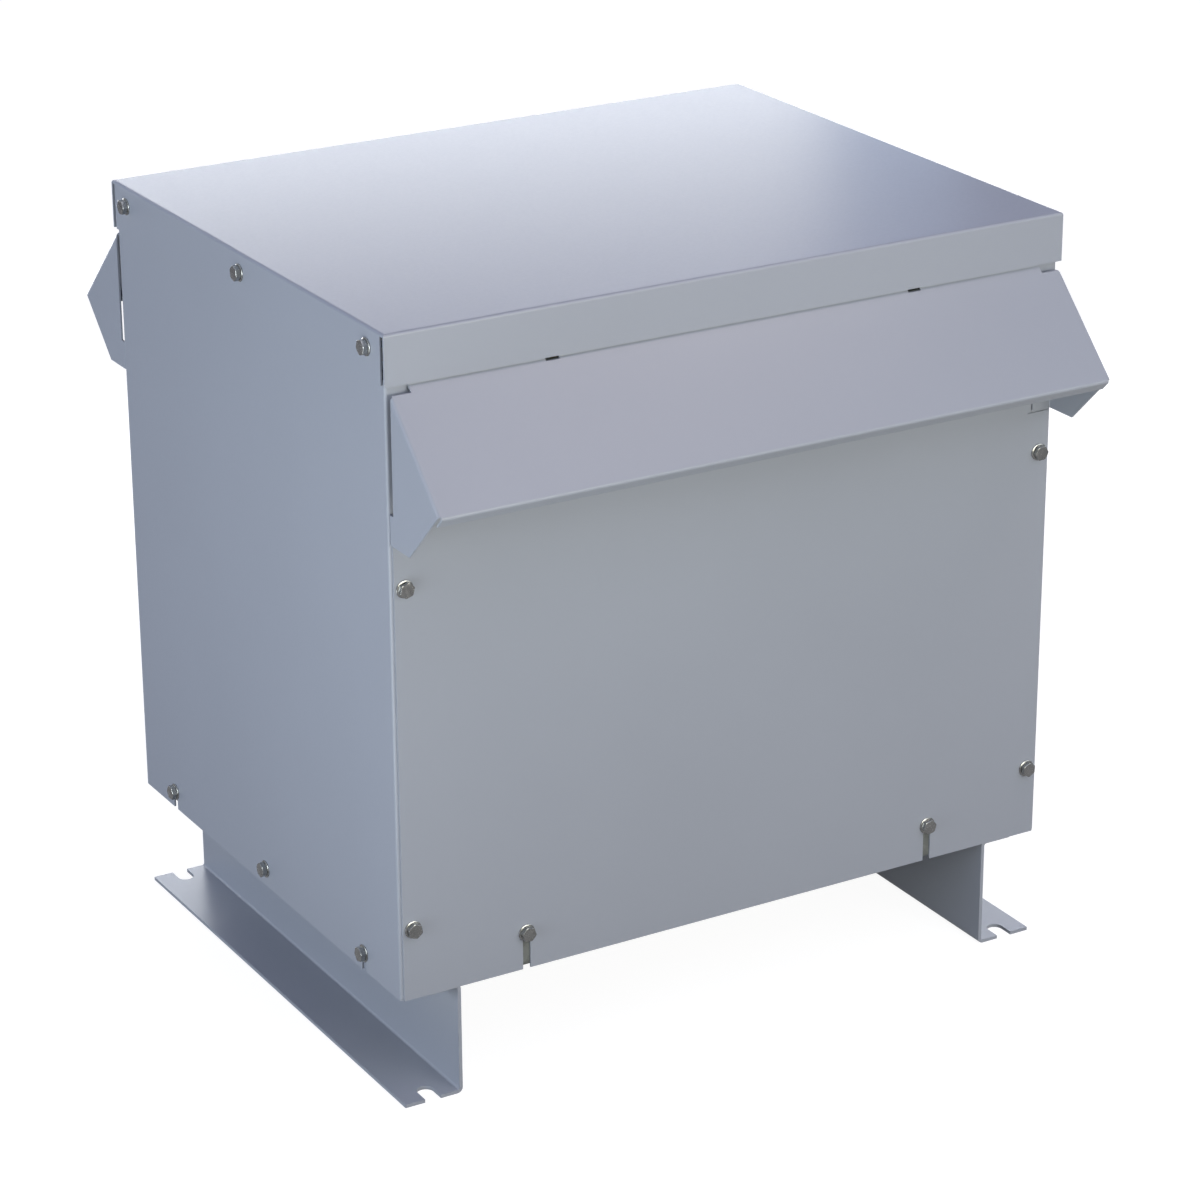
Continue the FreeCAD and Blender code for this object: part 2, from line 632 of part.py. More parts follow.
def front_base_angle():
    """A cross angle on the foot rails, behind the front panel's lower edge."""
    section = [(-FLANGE_Y, BASE_TOP), (-FLANGE_Y, BASE_BOTTOM),
               (-FLANGE_Y + BASE_FLOOR_WIDTH, BASE_BOTTOM)]
    angle = folded("yz", section, BASE_SHEET, BEND, -MEMBER_HALF_X, MEMBER_HALF_X)
    cuts = screw_holes(bottom_screw_places(-1))
    for sx in (-1, 1):
        for x in (BASE_BOLT_X, SUPPORT_OFFSET):
            cuts.append(base_bolt_hole(sx * x, -BASE_BOLT_Y))
    return angle.cut(cuts)


def left_base_angle():
    """A side angle on the cross angles, against the side panel's inner face."""
    half = FLANGE_Y - BASE_SHEET - BEND - FIT
    section = [(-SIDE_INNER_X, BASE_TOP), (-SIDE_INNER_X, BASE_FLOOR_TOP),
               (-SIDE_INNER_X + SIDE_BASE_FLOOR_WIDTH, BASE_FLOOR_TOP)]
    angle = folded("xz", section, BASE_SHEET, BEND, -half, half)
    cuts = screw_holes(side_screw_places())
    for sy in (-1, 1):
        cuts.append(base_bolt_hole(-BASE_BOLT_X, sy * BASE_BOLT_Y))
    return angle.cut(cuts)


def front_top_rail():
    """A folded rail under the lid that carries the hood's upper flange."""
    bottom = BODY_TOP - TOP_RAIL_DROP
    section = [(-FLANGE_Y + TOP_RAIL_WIDTH, BODY_TOP), (-FLANGE_Y, BODY_TOP),
               (-FLANGE_Y, bottom)]
    rail = folded("yz", section, SHEET, BEND, -MEMBER_HALF_X, MEMBER_HALF_X)
    cap_half = SIDE_INNER_X - FIT
    cap = box(-cap_half, cap_half, -FLANGE_Y + OUTER_BEND, -FLANGE_Y + TOP_RAIL_WIDTH,
              BODY_TOP - SHEET, BODY_TOP)
    rail = rail.fuse(cap).removeSplitter()
    cuts = drain_slots()
    for x in RIVET_OFFSETS:
        cuts.append(rod(RIVET_RADIUS, V(x, -FLANGE_Y - 1, SKIRT_BOTTOM + RIVET_RISE),
                        V(0, 1, 0), SHEET + 2))
    return rail.cut(cuts)


def hood_rivets():
    rivets = []
    for face in (-1, 1):
        for x in RIVET_OFFSETS:
            z = SKIRT_BOTTOM + RIVET_RISE
            outward = V(0, face, 0)
            seat = V(x, face * PLATE_Y, z)
            back = V(x, face * (FLANGE_Y - SHEET), z)
            head = rod(RIVET_HEAD_RADIUS, seat, outward, RIVET_HEAD_HEIGHT)
            shank = rod(RIVET_RADIUS, back, outward, PLATE_Y - FLANGE_Y + SHEET)
            tail = rod(RIVET_TAIL_RADIUS, back, -outward, RIVET_TAIL_HEIGHT)
            rivets.append(head.fuse([shank, tail]).removeSplitter())
    return rivets


def panel_nuts():
    """Weld nuts behind every screw of the lid and the panels."""
    nuts = []
    for seat, axis in lid_screw_places():
        nuts.append(weld_nut(seat - axis * (LID_WIDTH / 2 - SIDE_INNER_X), -axis))
    for seat, axis in side_screw_places():
        nuts.append(weld_nut(seat - axis * (SHEET + BASE_SHEET), -axis))
    for face in (-1, 1):
        for seat, axis in edge_screw_places(face):
            nuts.append(weld_nut(seat - axis * (2 * SHEET), -axis))
        for seat, axis in bottom_screw_places(face):
            nuts.append(weld_nut(seat - axis * (SHEET + BASE_SHEET), -axis))
    return nuts


def base_bolts():
    """Corner bolts through the side angles, the cross angles and the foot rails, heads on top."""
    bolts = []
    for sx in (-1, 1):
        for sy in (-1, 1):
            seat = V(sx * BASE_BOLT_X, sy * BASE_BOLT_Y, BASE_FLOOR_TOP + BASE_SHEET)
            bolts.append(machine_bolt(seat, V(0, 0, 1), MOUNT_BOLT_RADIUS, MOUNT_HEX,
                                      MOUNT_HEAD_HEIGHT, BASE_BOLT_LENGTH))
    return bolts


def support_bolts():
    """Long bolts of the core supports: down to the cross angles, and through the pads."""
    bolts = []
    for sx in (-1, 1):
        for sy in (-1, 1):
            for y, z in ((BASE_BOLT_Y, SUPPORT_TOP), (MOUNT_BOLT_Y, CORE_BOTTOM + CLAMP_THICKNESS)):
                seat = V(sx * SUPPORT_OFFSET, sy * y, z)
                bolts.append(machine_bolt(seat, V(0, 0, 1), MOUNT_BOLT_RADIUS, MOUNT_HEX,
                                          MOUNT_HEAD_HEIGHT, SUPPORT_BOLT_LENGTH))
    return bolts


def frame_nuts():
    """The nuts under the base bolts and the support bolts."""
    places = [(BASE_BOLT_X, BASE_BOLT_Y, BASE_BOTTOM - FOOT_SHEET),
              (SUPPORT_OFFSET, BASE_BOLT_Y, BASE_BOTTOM),
              (SUPPORT_OFFSET, MOUNT_BOLT_Y, SUPPORT_TOP - SUPPORT_SHEET)]
    nuts = []
    for sx in (-1, 1):
        for sy in (-1, 1):
            for x, y, z in places:
                nuts.append(plain_nut(V(sx * x, sy * y, z), V(0, 0, -1), MOUNT_BOLT_RADIUS,
                                      MOUNT_HEX, MOUNT_NUT_HEIGHT))
    return nuts


# Core, coils and their supports

def left_core_support():
    """A channel from the front cross angle to the rear one, open downwards."""
    x0 = -SUPPORT_OFFSET - SUPPORT_WIDTH / 2
    x1 = -SUPPORT_OFFSET + SUPPORT_WIDTH / 2
    half_y = FLANGE_Y - BASE_SHEET - BEND - FIT
    section = [(x0, BASE_FLOOR_TOP), (x0, SUPPORT_TOP), (x1, SUPPORT_TOP), (x1, BASE_FLOOR_TOP)]
    section.reverse()
    support = folded("xz", section, SUPPORT_SHEET, FOOT_BEND, -half_y, half_y)
    cuts = []
    for y in (-BASE_BOLT_Y, -MOUNT_BOLT_Y, MOUNT_BOLT_Y, BASE_BOLT_Y):
        cuts.append(rod(MOUNT_BOLT_RADIUS + MOUNT_HOLE_PLAY,
                        V(-SUPPORT_OFFSET, y, SUPPORT_TOP - 10), V(0, 0, 1), 20))
    return support.cut(cuts)


def isolation_pads():
    pads = []
    half = PAD_SIZE / 2
    for sx in (-1, 1):
        for sy in (-1, 1):
            x = sx * SUPPORT_OFFSET
            y = sy * MOUNT_BOLT_Y
            pad = box(x - half, x + half, y - half, y + half, SUPPORT_TOP, PAD_TOP)
            hole = rod(MOUNT_BOLT_RADIUS + MOUNT_HOLE_PLAY, V(x, y, SUPPORT_TOP),
                       V(0, 0, 1), PAD_THICKNESS)
            pads.append(pad.cut(hole))
    return pads


def laminated_core():
    """Three limbs and two yokes of stacked steel, with holes for the middle bolts."""
    core = box(-CORE_HALF_X, CORE_HALF_X, -STACK_Y, STACK_Y, CORE_BOTTOM, CORE_TOP)
    cuts = []
    for x in (-LIMB_PITCH / 2, LIMB_PITCH / 2):
        half = (LIMB_PITCH - LIMB_WIDTH) / 2
        cuts.append(box(x - half, x + half, -STACK_Y - 1, STACK_Y + 1,
                        WINDOW_BOTTOM, WINDOW_TOP))
        for z in (LOWER_CLAMP_BOLT_Z, UPPER_CLAMP_BOLT_Z):
            cuts.append(rod(CLAMP_BOLT_RADIUS + CLAMP_HOLE_PLAY, V(x, -STACK_Y - 1, z),
                            V(0, 1, 0), STACK_DEPTH + 2))
    return core.cut(cuts)


TUBE_HALF_X = LIMB_WIDTH / 2 + TUBE_PLAY
TUBE_HALF_Y = STACK_Y + TUBE_PLAY
LV_INSET = TUBE_WALL + COIL_PLAY
HV_INSET = LV_INSET + LV_BUILD + DUCT
LV_OUTER_Y = TUBE_HALF_Y + LV_INSET + LV_BUILD
HV_INNER_Y = TUBE_HALF_Y + HV_INSET
HV_MIDDLE_Y = HV_INNER_Y + HV_BUILD / 2


def ring(x, inset, build, z0, z1):
    """A tube of rounded rectangular section around a limb, with concentric corners."""
    reach = inset + build
    outer = rounded_block(TUBE_HALF_X + reach, TUBE_HALF_Y + reach, TUBE_CORNER + reach,
                          z0, z1, x)
    inner = rounded_block(TUBE_HALF_X + inset, TUBE_HALF_Y + inset, TUBE_CORNER + inset,
                          z0 - 1, z1 + 1, x)
    return outer.cut(inner)


def winding_tube(x):
    return ring(x, 0.0, TUBE_WALL, WINDOW_BOTTOM + FIT, WINDOW_TOP - FIT)


def lv_winding(x):
    return ring(x, LV_INSET, LV_BUILD, COIL_BOTTOM, COIL_TOP)


def hv_winding(x):
    return ring(x, HV_INSET, HV_BUILD, COIL_BOTTOM, COIL_TOP)


def duct_spacers():
    """Upright sticks that keep the air duct open between the two coils of a limb."""
    sticks = []
    half = SPACER_WIDTH / 2
    for _, x in PHASES:
        for sy in (-1, 1):
            low, high = sorted((sy * LV_OUTER_Y, sy * HV_INNER_Y))
            for shift in (-SPACER_PITCH, 0.0, SPACER_PITCH):
                sticks.append(box(x + shift - half, x + shift + half, low, high,
                                  COIL_BOTTOM, COIL_TOP))
    return sticks


def coil_end_blocks():
    """Blocks between the coils' ends and the clamps' edges, in front and behind."""
    blocks = []
    half = END_BLOCK_WIDTH / 2
    y0 = TUBE_HALF_Y + TUBE_WALL + END_BLOCK_PLAY
    for _, x in PHASES:
        for sy in (-1, 1):
            low, high = sorted((sy * y0, sy * HV_MIDDLE_Y))
            for z in (WINDOW_BOTTOM, COIL_TOP):
                blocks.append(box(x - half, x + half, low, high, z, z + COIL_END_GAP))
    return blocks


def clamp_holes(z):
    holes = []
    for x in CLAMP_BOLT_XS:
        holes.append(rod(CLAMP_BOLT_RADIUS + CLAMP_HOLE_PLAY, V(x, -CLAMP_Y - 1, z),
                         V(0, 1, 0), CLAMP_THICKNESS + 2))
    return holes


def upper_clamp_front():
    """A flat bar against the upper yoke."""
    bar = box(-CLAMP_HALF_X, CLAMP_HALF_X, -CLAMP_Y, -STACK_Y, WINDOW_TOP, CORE_TOP)
    return bar.cut(clamp_holes(UPPER_CLAMP_BOLT_Z))


def lower_clamp_front():
    """A heavy angle against the lower yoke, with its floor leg on the pads."""
    section = [(-STACK_Y, WINDOW_BOTTOM), (-STACK_Y, CORE_BOTTOM),
               (-STACK_Y - LOWER_LEG_WIDTH, CORE_BOTTOM),
               (-STACK_Y - LOWER_LEG_WIDTH, CORE_BOTTOM + CLAMP_THICKNESS),
               (-CLAMP_Y, CORE_BOTTOM + CLAMP_THICKNESS), (-CLAMP_Y, WINDOW_BOTTOM)]
    angle = prism("yz", section, -CLAMP_HALF_X, CLAMP_HALF_X)
    cuts = clamp_holes(LOWER_CLAMP_BOLT_Z)
    for x in (-SUPPORT_OFFSET, SUPPORT_OFFSET):
        cuts.append(rod(MOUNT_BOLT_RADIUS + MOUNT_HOLE_PLAY,
                        V(x, -MOUNT_BOLT_Y, CORE_BOTTOM - 1), V(0, 0, 1), CLAMP_THICKNESS + 2))
    return angle.cut(cuts)


def clamp_bolt_places():
    """Each bolt's x and z, and how far its seats lie from the core's middle plane."""
    places = []
    for x in CLAMP_BOLT_XS:
        places.append((x, LOWER_CLAMP_BOLT_Z, CLAMP_Y))
        over_bracket = abs(x) < LIMB_PITCH
        places.append((x, UPPER_CLAMP_BOLT_Z, BOARD_BACK_Y if over_bracket else CLAMP_Y))
    return places


def clamp_bolts():
    bolts = []
    for x, z, seat in clamp_bolt_places():
        length = 2 * seat + CLAMP_HEAD_HEIGHT + CLAMP_BOLT_TAIL
        bolts.append(machine_bolt(V(x, -seat, z), V(0, -1, 0), CLAMP_BOLT_RADIUS, CLAMP_HEX,
                                  CLAMP_HEAD_HEIGHT, length))
    return bolts


def clamp_nuts():
    nuts = []
    for x, z, seat in clamp_bolt_places():
        nuts.append(plain_nut(V(x, seat, z), V(0, 1, 0), CLAMP_BOLT_RADIUS, CLAMP_HEX,
                              CLAMP_HEAD_HEIGHT))
    return nuts


# Terminals

def board_screw_places():
    """The seats of the screws that hold the two boards to their brackets."""
    places = []
    for face in (-1, 1):
        for sx in (-1, 1):
            for z in (BOARD_BOTTOM + BOARD_SCREW_INSET, BOARD_TOP - BOARD_SCREW_INSET):
                places.append((V(sx * LIMB_PITCH / 2, face * BOARD_FACE_Y, z), V(0, face, 0)))
    return places


def board_screw_holes(face):
    holes = []
    for seat, axis in board_screw_places():
        if axis.y == face:
            holes.append(rod(BOARD_SCREW_RADIUS + FIT, seat - axis * 2 * BOARD_THICKNESS, axis,
                             3 * BOARD_THICKNESS))
    return holes


def board_screws():
    screws = []
    for seat, axis in board_screw_places():
        length = BOARD_THICKNESS + BRACKET_SHEET + 2 * BOARD_SCREW_HEAD
        screws.append(machine_bolt(seat, axis, BOARD_SCREW_RADIUS, BOARD_SCREW_HEX,
                                   BOARD_SCREW_HEAD, length))
    return screws


def board_nuts():
    nuts = []
    for seat, axis in board_screw_places():
        back = seat - axis * (BOARD_THICKNESS + BRACKET_SHEET)
        nuts.append(plain_nut(back, -axis, BOARD_SCREW_RADIUS, BOARD_SCREW_HEX,
                              BOARD_SCREW_HEAD))
    return nuts


def terminal_board(face):
    """An insulating board above the clamp, on the outer faces of two brackets."""
    y0, y1 = sorted((face * BOARD_BACK_Y, face * BOARD_FACE_Y))
    board = box(-BOARD_LENGTH / 2, BOARD_LENGTH / 2, y0, y1, BOARD_BOTTOM, BOARD_TOP)
    cuts = board_screw_holes(face)
    if face > 0:
        cuts += lv_terminal_holes()
    else:
        for x in hv_stud_xs():
            cuts.append(rod(STUD_RADIUS + STUD_HOLE_PLAY, V(x, y0 - 1, BOARD_MIDDLE),
                            V(0, 1, 0), BOARD_THICKNESS + 2))
    return board.cut(cuts)


def terminal_brackets():
    """Flat straps under the upper clamps' middle bolts, which carry the boards."""
    brackets = []
    half = BRACKET_WIDTH / 2
    for face in (-1, 1):
        y0, y1 = sorted((face * CLAMP_Y, face * BOARD_BACK_Y))
        for x in (-LIMB_PITCH / 2, LIMB_PITCH / 2):
            strap = box(x - half, x + half, y0, y1, UPPER_CLAMP_BOLT_Z - BRACKET_WIDTH,
                        BOARD_TOP)
            cuts = board_screw_holes(face)
            cuts.append(rod(CLAMP_BOLT_RADIUS + CLAMP_HOLE_PLAY,
                            V(x, y0 - 1, UPPER_CLAMP_BOLT_Z), V(0, 1, 0), BRACKET_SHEET + 2))
            brackets.append(strap.cut(cuts))
    return brackets


def hv_stud_xs():
    xs = []
    for _, x in PHASES:
        xs += [x - BAR_OFFSET, x + BAR_OFFSET]
    return xs


def hv_terminal_studs():
    """Studs through the front board, with a nut behind it and a nut on each lug."""
    studs = []
    lug_face = HV_MIDDLE_Y + LUG_THICKNESS / 2
    lug_back = HV_MIDDLE_Y - LUG_THICKNESS / 2
    tip = lug_face + STUD_NUT_HEIGHT + STUD_TAIL
    end = BOARD_BACK_Y - STUD_NUT_HEIGHT - STUD_TAIL
    for x in hv_stud_xs():
        nuts = [(BOARD_BACK_Y - STUD_NUT_HEIGHT, BOARD_BACK_Y), (BOARD_FACE_Y, lug_back),
                (lug_face, lug_face + STUD_NUT_HEIGHT)]
        shank = rod(STUD_RADIUS, V(x, -tip, BOARD_MIDDLE), V(0, 1, 0), tip - end)
        collars = []
        for y0, y1 in nuts:
            collars.append(hexagon(STUD_NUT_HEX, V(x, -y1, BOARD_MIDDLE), V(0, 1, 0), y1 - y0))
        studs.append(shank.fuse(collars).removeSplitter())
    return studs


def hv_leads():
    """Upright leads from the outer coils to lugs on the studs."""
    leads = []
    for x in hv_stud_xs():
        lug = box(x - LUG_WIDTH / 2, x + LUG_WIDTH / 2, -HV_MIDDLE_Y - LUG_THICKNESS / 2,
                  -HV_MIDDLE_Y + LUG_THICKNESS / 2, BOARD_MIDDLE - LUG_LENGTH,
                  BOARD_MIDDLE + LUG_WIDTH / 2)
        lead = rod(LEAD_RADIUS, V(x, -HV_MIDDLE_Y, COIL_TOP), V(0, 0, 1),
                   BOARD_MIDDLE - LUG_LENGTH / 2 - 1 - COIL_TOP)
        hole = rod(STUD_RADIUS, V(x, -HV_MIDDLE_Y - LUG_THICKNESS, BOARD_MIDDLE),
                   V(0, 1, 0), 2 * LUG_THICKNESS)
        leads.append(lug.fuse(lead).removeSplitter().cut(hole))
    return leads


def lv_bar(x, top):
    return box(x - BAR_WIDTH / 2, x + BAR_WIDTH / 2, BOARD_FACE_Y, BAR_FACE_Y, COIL_TOP, top)


def lv_terminal_holes():
    """The holes of the three phase terminals, through the bars and the rear board."""
    holes = []
    z = BOARD_BOTTOM + PHASE_BAR_RISE - BAR_WIDTH / 2
    for _, x in PHASES:
        holes.append(rod(TERMINAL_HOLE_RADIUS, V(x - BAR_OFFSET, BOARD_BACK_Y - 1, z),
                         V(0, 1, 0), BOARD_THICKNESS + BAR_THICKNESS + 2))
    return holes


def lv_phase_bars():
    """Flat bars from the inner coils, up the rear board's face."""
    bars = []
    for _, x in PHASES:
        bar = lv_bar(x - BAR_OFFSET, BOARD_BOTTOM + PHASE_BAR_RISE)
        bars.append(bar.cut(lv_terminal_holes()))
    return bars


def lv_neutral_bars():
    return [lv_bar(x + BAR_OFFSET, NEUTRAL_TOP) for _, x in PHASES]


def neutral_bar():
    """A cross bar on the three neutral risers, above the phase bars, with a free end."""
    x0 = -LIMB_PITCH + BAR_OFFSET - BAR_WIDTH / 2
    x1 = LIMB_PITCH + BAR_OFFSET + BAR_WIDTH / 2 + NEUTRAL_BAR_OVERHANG
    bar = box(x0, x1, BAR_FACE_Y, BAR_FACE_Y + BAR_THICKNESS, NEUTRAL_BOTTOM, NEUTRAL_TOP)
    hole = rod(TERMINAL_HOLE_RADIUS, V(x1 - BAR_WIDTH / 2, BAR_FACE_Y - 1,
                                       (NEUTRAL_BOTTOM + NEUTRAL_TOP) / 2),
               V(0, 1, 0), BAR_THICKNESS + 2)
    return bar.cut(hole)


# Earthing

LEG_EDGE_Y = STACK_Y + LOWER_LEG_WIDTH
STRAP_TOP_Y = LEG_EDGE_Y - STRAP_LAP / 2
STRAP_LOW_Y = LEG_EDGE_Y + STRAP_RUN + STRAP_LAP / 2
LUG_BACK_Y = -FLANGE_Y + BASE_FLOOR_WIDTH - BEND - FIT
LUG_SCREW_Y = LUG_BACK_Y - LUG_BLOCK_LENGTH - LUG_TONGUE_LENGTH / 2


def ground_screw_places():
    """The seats of the strap's two screws and the lug's screw, heads up."""
    return [V(-SUPPORT_OFFSET, -STRAP_TOP_Y, CORE_BOTTOM + CLAMP_THICKNESS + STRAP_THICKNESS),
            V(-SUPPORT_OFFSET, -STRAP_LOW_Y, SUPPORT_TOP + STRAP_THICKNESS),
            V(LUG_OFFSET, LUG_SCREW_Y, BASE_FLOOR_TOP + LUG_TONGUE_HEIGHT)]


def ground_screw_holes():
    holes = []
    for seat in ground_screw_places():
        holes.append(rod(GROUND_SCREW_RADIUS, seat - V(0, 0, GROUND_SCREW_LENGTH), V(0, 0, 1),
                         2 * GROUND_SCREW_LENGTH))
    return holes


def ground_screws():
    screws = []
    for seat in ground_screw_places():
        screws.append(machine_bolt(seat, V(0, 0, 1), GROUND_SCREW_RADIUS, GROUND_SCREW_HEX,
                                   GROUND_SCREW_HEAD, GROUND_SCREW_LENGTH))
    return screws


def ground_strap():
    """A flat strap that bridges a rubber pad, from the lower clamp to the core support."""
    top = CORE_BOTTOM + CLAMP_THICKNESS
    path = [(-LEG_EDGE_Y - STRAP_RUN - STRAP_LAP, SUPPORT_TOP),
            (-LEG_EDGE_Y - STRAP_RUN, SUPPORT_TOP), (-LEG_EDGE_Y - FIT, top),
            (-LEG_EDGE_Y + STRAP_LAP, top)]
    half = STRAP_WIDTH / 2
    x0 = -SUPPORT_OFFSET - half
    strap = folded("yz", path, STRAP_THICKNESS, BEND, x0, x0 + STRAP_WIDTH)
    return strap.cut(ground_screw_holes())


def ground_lug():
    """A wire lug on the front cross angle: a drilled block with a clamp screw and a tongue."""
    half = LUG_BLOCK_WIDTH / 2
    x0 = LUG_OFFSET - half
    x1 = LUG_OFFSET + half
    z0 = BASE_FLOOR_TOP
    y0 = LUG_BACK_Y - LUG_BLOCK_LENGTH
    block = box(x0, x1, y0, LUG_BACK_Y, z0, z0 + LUG_BLOCK_HEIGHT)
    tongue = box(x0, x1, y0 - LUG_TONGUE_LENGTH, y0, z0, z0 + LUG_TONGUE_HEIGHT)
    screw = rod(CLAMP_SCREW_RADIUS, V(LUG_OFFSET, LUG_BACK_Y - LUG_BLOCK_LENGTH / 2,
                                      z0 + LUG_BLOCK_HEIGHT), V(0, 0, 1), CLAMP_SCREW_HEIGHT)
    bore = rod(LUG_BLOCK_BORE, V(LUG_OFFSET, y0 - 1, z0 + LUG_BLOCK_HEIGHT / 2 + 1),
               V(0, 1, 0), LUG_BLOCK_LENGTH + 2)
    return block.fuse([tongue, screw]).removeSplitter().cut([bore] + ground_screw_holes())


def build_nodes():
    nodes = {
        "top_cover": top_cover(),
        "left_side_panel": left_side_panel(),
        "right_side_panel": half_turn(left_side_panel()),
        "front_panel": front_panel(),
        "rear_panel": half_turn(front_panel()),
        "front_hood": front_hood(),
        "rear_hood": half_turn(front_hood()),
        "left_foot_rail": left_foot_rail(),
        "right_foot_rail": half_turn(left_foot_rail()),
        "front_base_angle": front_base_angle().cut(ground_screw_holes()),
        "rear_base_angle": half_turn(front_base_angle()),
        "left_base_angle": left_base_angle(),
        "right_base_angle": half_turn(left_base_angle()),
        "front_top_rail": front_top_rail(),
        "rear_top_rail": half_turn(front_top_rail()),
        "hood_rivets": hood_rivets(),
        "cover_screws": [washer_screw(*place) for place in lid_screw_places()],
        "side_panel_screws": [washer_screw(*place) for place in side_screw_places()],
        "panel_nuts": panel_nuts(),
        "base_bolts": base_bolts(),
        "support_bolts": support_bolts(),
        "frame_nuts": frame_nuts(),
        "left_core_support": left_core_support().cut(ground_screw_holes()),
        "right_core_support": half_turn(left_core_support()),
        "isolation_pads": isolation_pads(),
        "laminated_core": laminated_core(),
        "duct_spacers": duct_spacers(),
        "coil_end_blocks": coil_end_blocks(),
        "upper_clamp_front": upper_clamp_front(),
        "upper_clamp_rear": half_turn(upper_clamp_front()),
        "lower_clamp_front": lower_clamp_front().cut(ground_screw_holes()),
        "lower_clamp_rear": half_turn(lower_clamp_front()),
        "clamp_bolts": clamp_bolts(),
        "clamp_nuts": clamp_nuts(),
        "hv_terminal_board": terminal_board(-1),
        "lv_terminal_board": terminal_board(1),
        "terminal_brackets": terminal_brackets(),
        "board_screws": board_screws(),
        "board_nuts": board_nuts(),
        "hv_terminal_studs": hv_terminal_studs(),
        "hv_leads": hv_leads(),
        "lv_phase_bars": lv_phase_bars(),
        "lv_neutral_bars": lv_neutral_bars(),
        "neutral_bar": neutral_bar(),
        "ground_strap": ground_strap(),
        "ground_screws": ground_screws(),
        "ground_lug": ground_lug(),
    }
    for name, face in (("front", -1), ("rear", 1)):
        places = edge_screw_places(face) + bottom_screw_places(face)
        nodes[name + "_panel_screws"] = [washer_screw(*place) for place in places]
    for name, x in PHASES:
        nodes["winding_tube_" + name] = winding_tube(x)
        nodes["lv_winding_" + name] = lv_winding(x)
        nodes["hv_winding_" + name] = hv_winding(x)
    return nodes


def main():
    os.makedirs("parts", exist_ok=True)
    for name, shape in build_nodes().items():
        if isinstance(shape, list):
            shape = Part.makeCompound(shape)
        shape.exportStep(os.path.join("parts", name + ".step"))


main()
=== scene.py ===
import bmesh
import bpy
import json
import math
from mathutils import Euler, Matrix, Vector


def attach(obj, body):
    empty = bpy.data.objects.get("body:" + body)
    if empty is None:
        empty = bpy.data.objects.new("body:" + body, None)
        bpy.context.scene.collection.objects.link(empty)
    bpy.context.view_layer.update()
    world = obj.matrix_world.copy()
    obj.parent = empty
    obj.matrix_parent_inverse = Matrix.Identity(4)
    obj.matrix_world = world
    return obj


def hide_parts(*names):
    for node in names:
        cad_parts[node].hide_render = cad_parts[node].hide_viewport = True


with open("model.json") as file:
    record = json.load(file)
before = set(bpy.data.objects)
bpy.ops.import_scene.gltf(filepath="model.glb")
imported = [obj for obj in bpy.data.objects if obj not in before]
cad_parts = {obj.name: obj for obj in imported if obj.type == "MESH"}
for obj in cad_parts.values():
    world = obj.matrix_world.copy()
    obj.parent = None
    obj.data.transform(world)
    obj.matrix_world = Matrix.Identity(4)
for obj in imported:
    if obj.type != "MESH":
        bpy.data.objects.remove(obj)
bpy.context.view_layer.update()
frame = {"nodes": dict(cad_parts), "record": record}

# Ventilated dry-type transformer. Metres, floor at Z = 0, the front faces -Y.

NODES = frame["nodes"]
SCENE = bpy.context.scene
SCENE.view_settings.view_transform = "Standard"

# Screws: a thin round flange, a flat hex head with broken corners and a threaded shank
HEX_SIDES = 6
AROUND = 48
SHARP_ANGLE = 35
FLANGE_REACH = 0.0073
FLANGE_THICKNESS = 0.0012
FLANGE_ROUND = 0.0002
HEAD_ACROSS = 0.0114
HEAD_CORNER = HEAD_ACROSS * 0.568
HEAD_CROWN = HEAD_ACROSS * 0.535
HEAD_BEVEL = math.tan(math.radians(30))
HEAD_BASE = 0.0014
HEAD_TOP = 0.0055
HEAD_FOOT_DEPTH = 0.0003
HEAD_FOOT_TAPER = 0.00025
HEAD_RIM = 0.00016
HEAD_FACE_INSET = 0.0004
THREAD_RADIUS = 0.003
THREAD_PITCH = 0.001
THREAD_DEPTH = THREAD_PITCH * 0.55
THREAD_LENGTH = 0.014
THREAD_AROUND = 18
THREAD_STEPS = 5
FIRST_TWIST = 17
NEXT_TWIST = 23
SCREW_SPACING = 0.03

# Camera: place in metres, turn in degrees, lens and sensor in millimetres
CAMERA_PLACE = (-1.54175, -2.65991, 1.52863)
CAMERA_TURN = (68.062, 0.246, -30.478)
CAMERA_LENS = 116.04
CAMERA_SENSOR = 36.0
CAMERA_REACH = 100.0

# Floor: it glows a little less near the object, and less again in mirror images
FLOOR_HALF = 40.0
FLOOR_GREY = 0.2
FLOOR_NEAR = 0.6
FLOOR_FAR = 1.6
FLOOR_NEAR_GLOW = 0.92
FLOOR_MIRRORED = 0.25

# World: a faint blue fill, and what mirror images show between two heights of direction
FILL_COLOUR = (0.1, 0.15, 1.0)
FILL_STRENGTH = 0.19
HAZE_LOW = 0.03
HAZE_HIGH = 0.35
HAZE_LOW_COLOUR = (0.3, 0.3, 0.3)
HAZE_HIGH_COLOUR = (0.82, 0.9, 1.06)

# Points that the lamps are aimed at
FRONT = (0.0, -0.2, 0.35)
MIDDLE = (0.0, -0.1, 0.4)
UPPER = (0.0, -0.1, 0.5)
LEFT = (-0.3, 0.0, 0.3)
REAR_TOP = (0.0, 0.0, 0.6)
LID_TOP = (0.1, 0.0, 0.66)


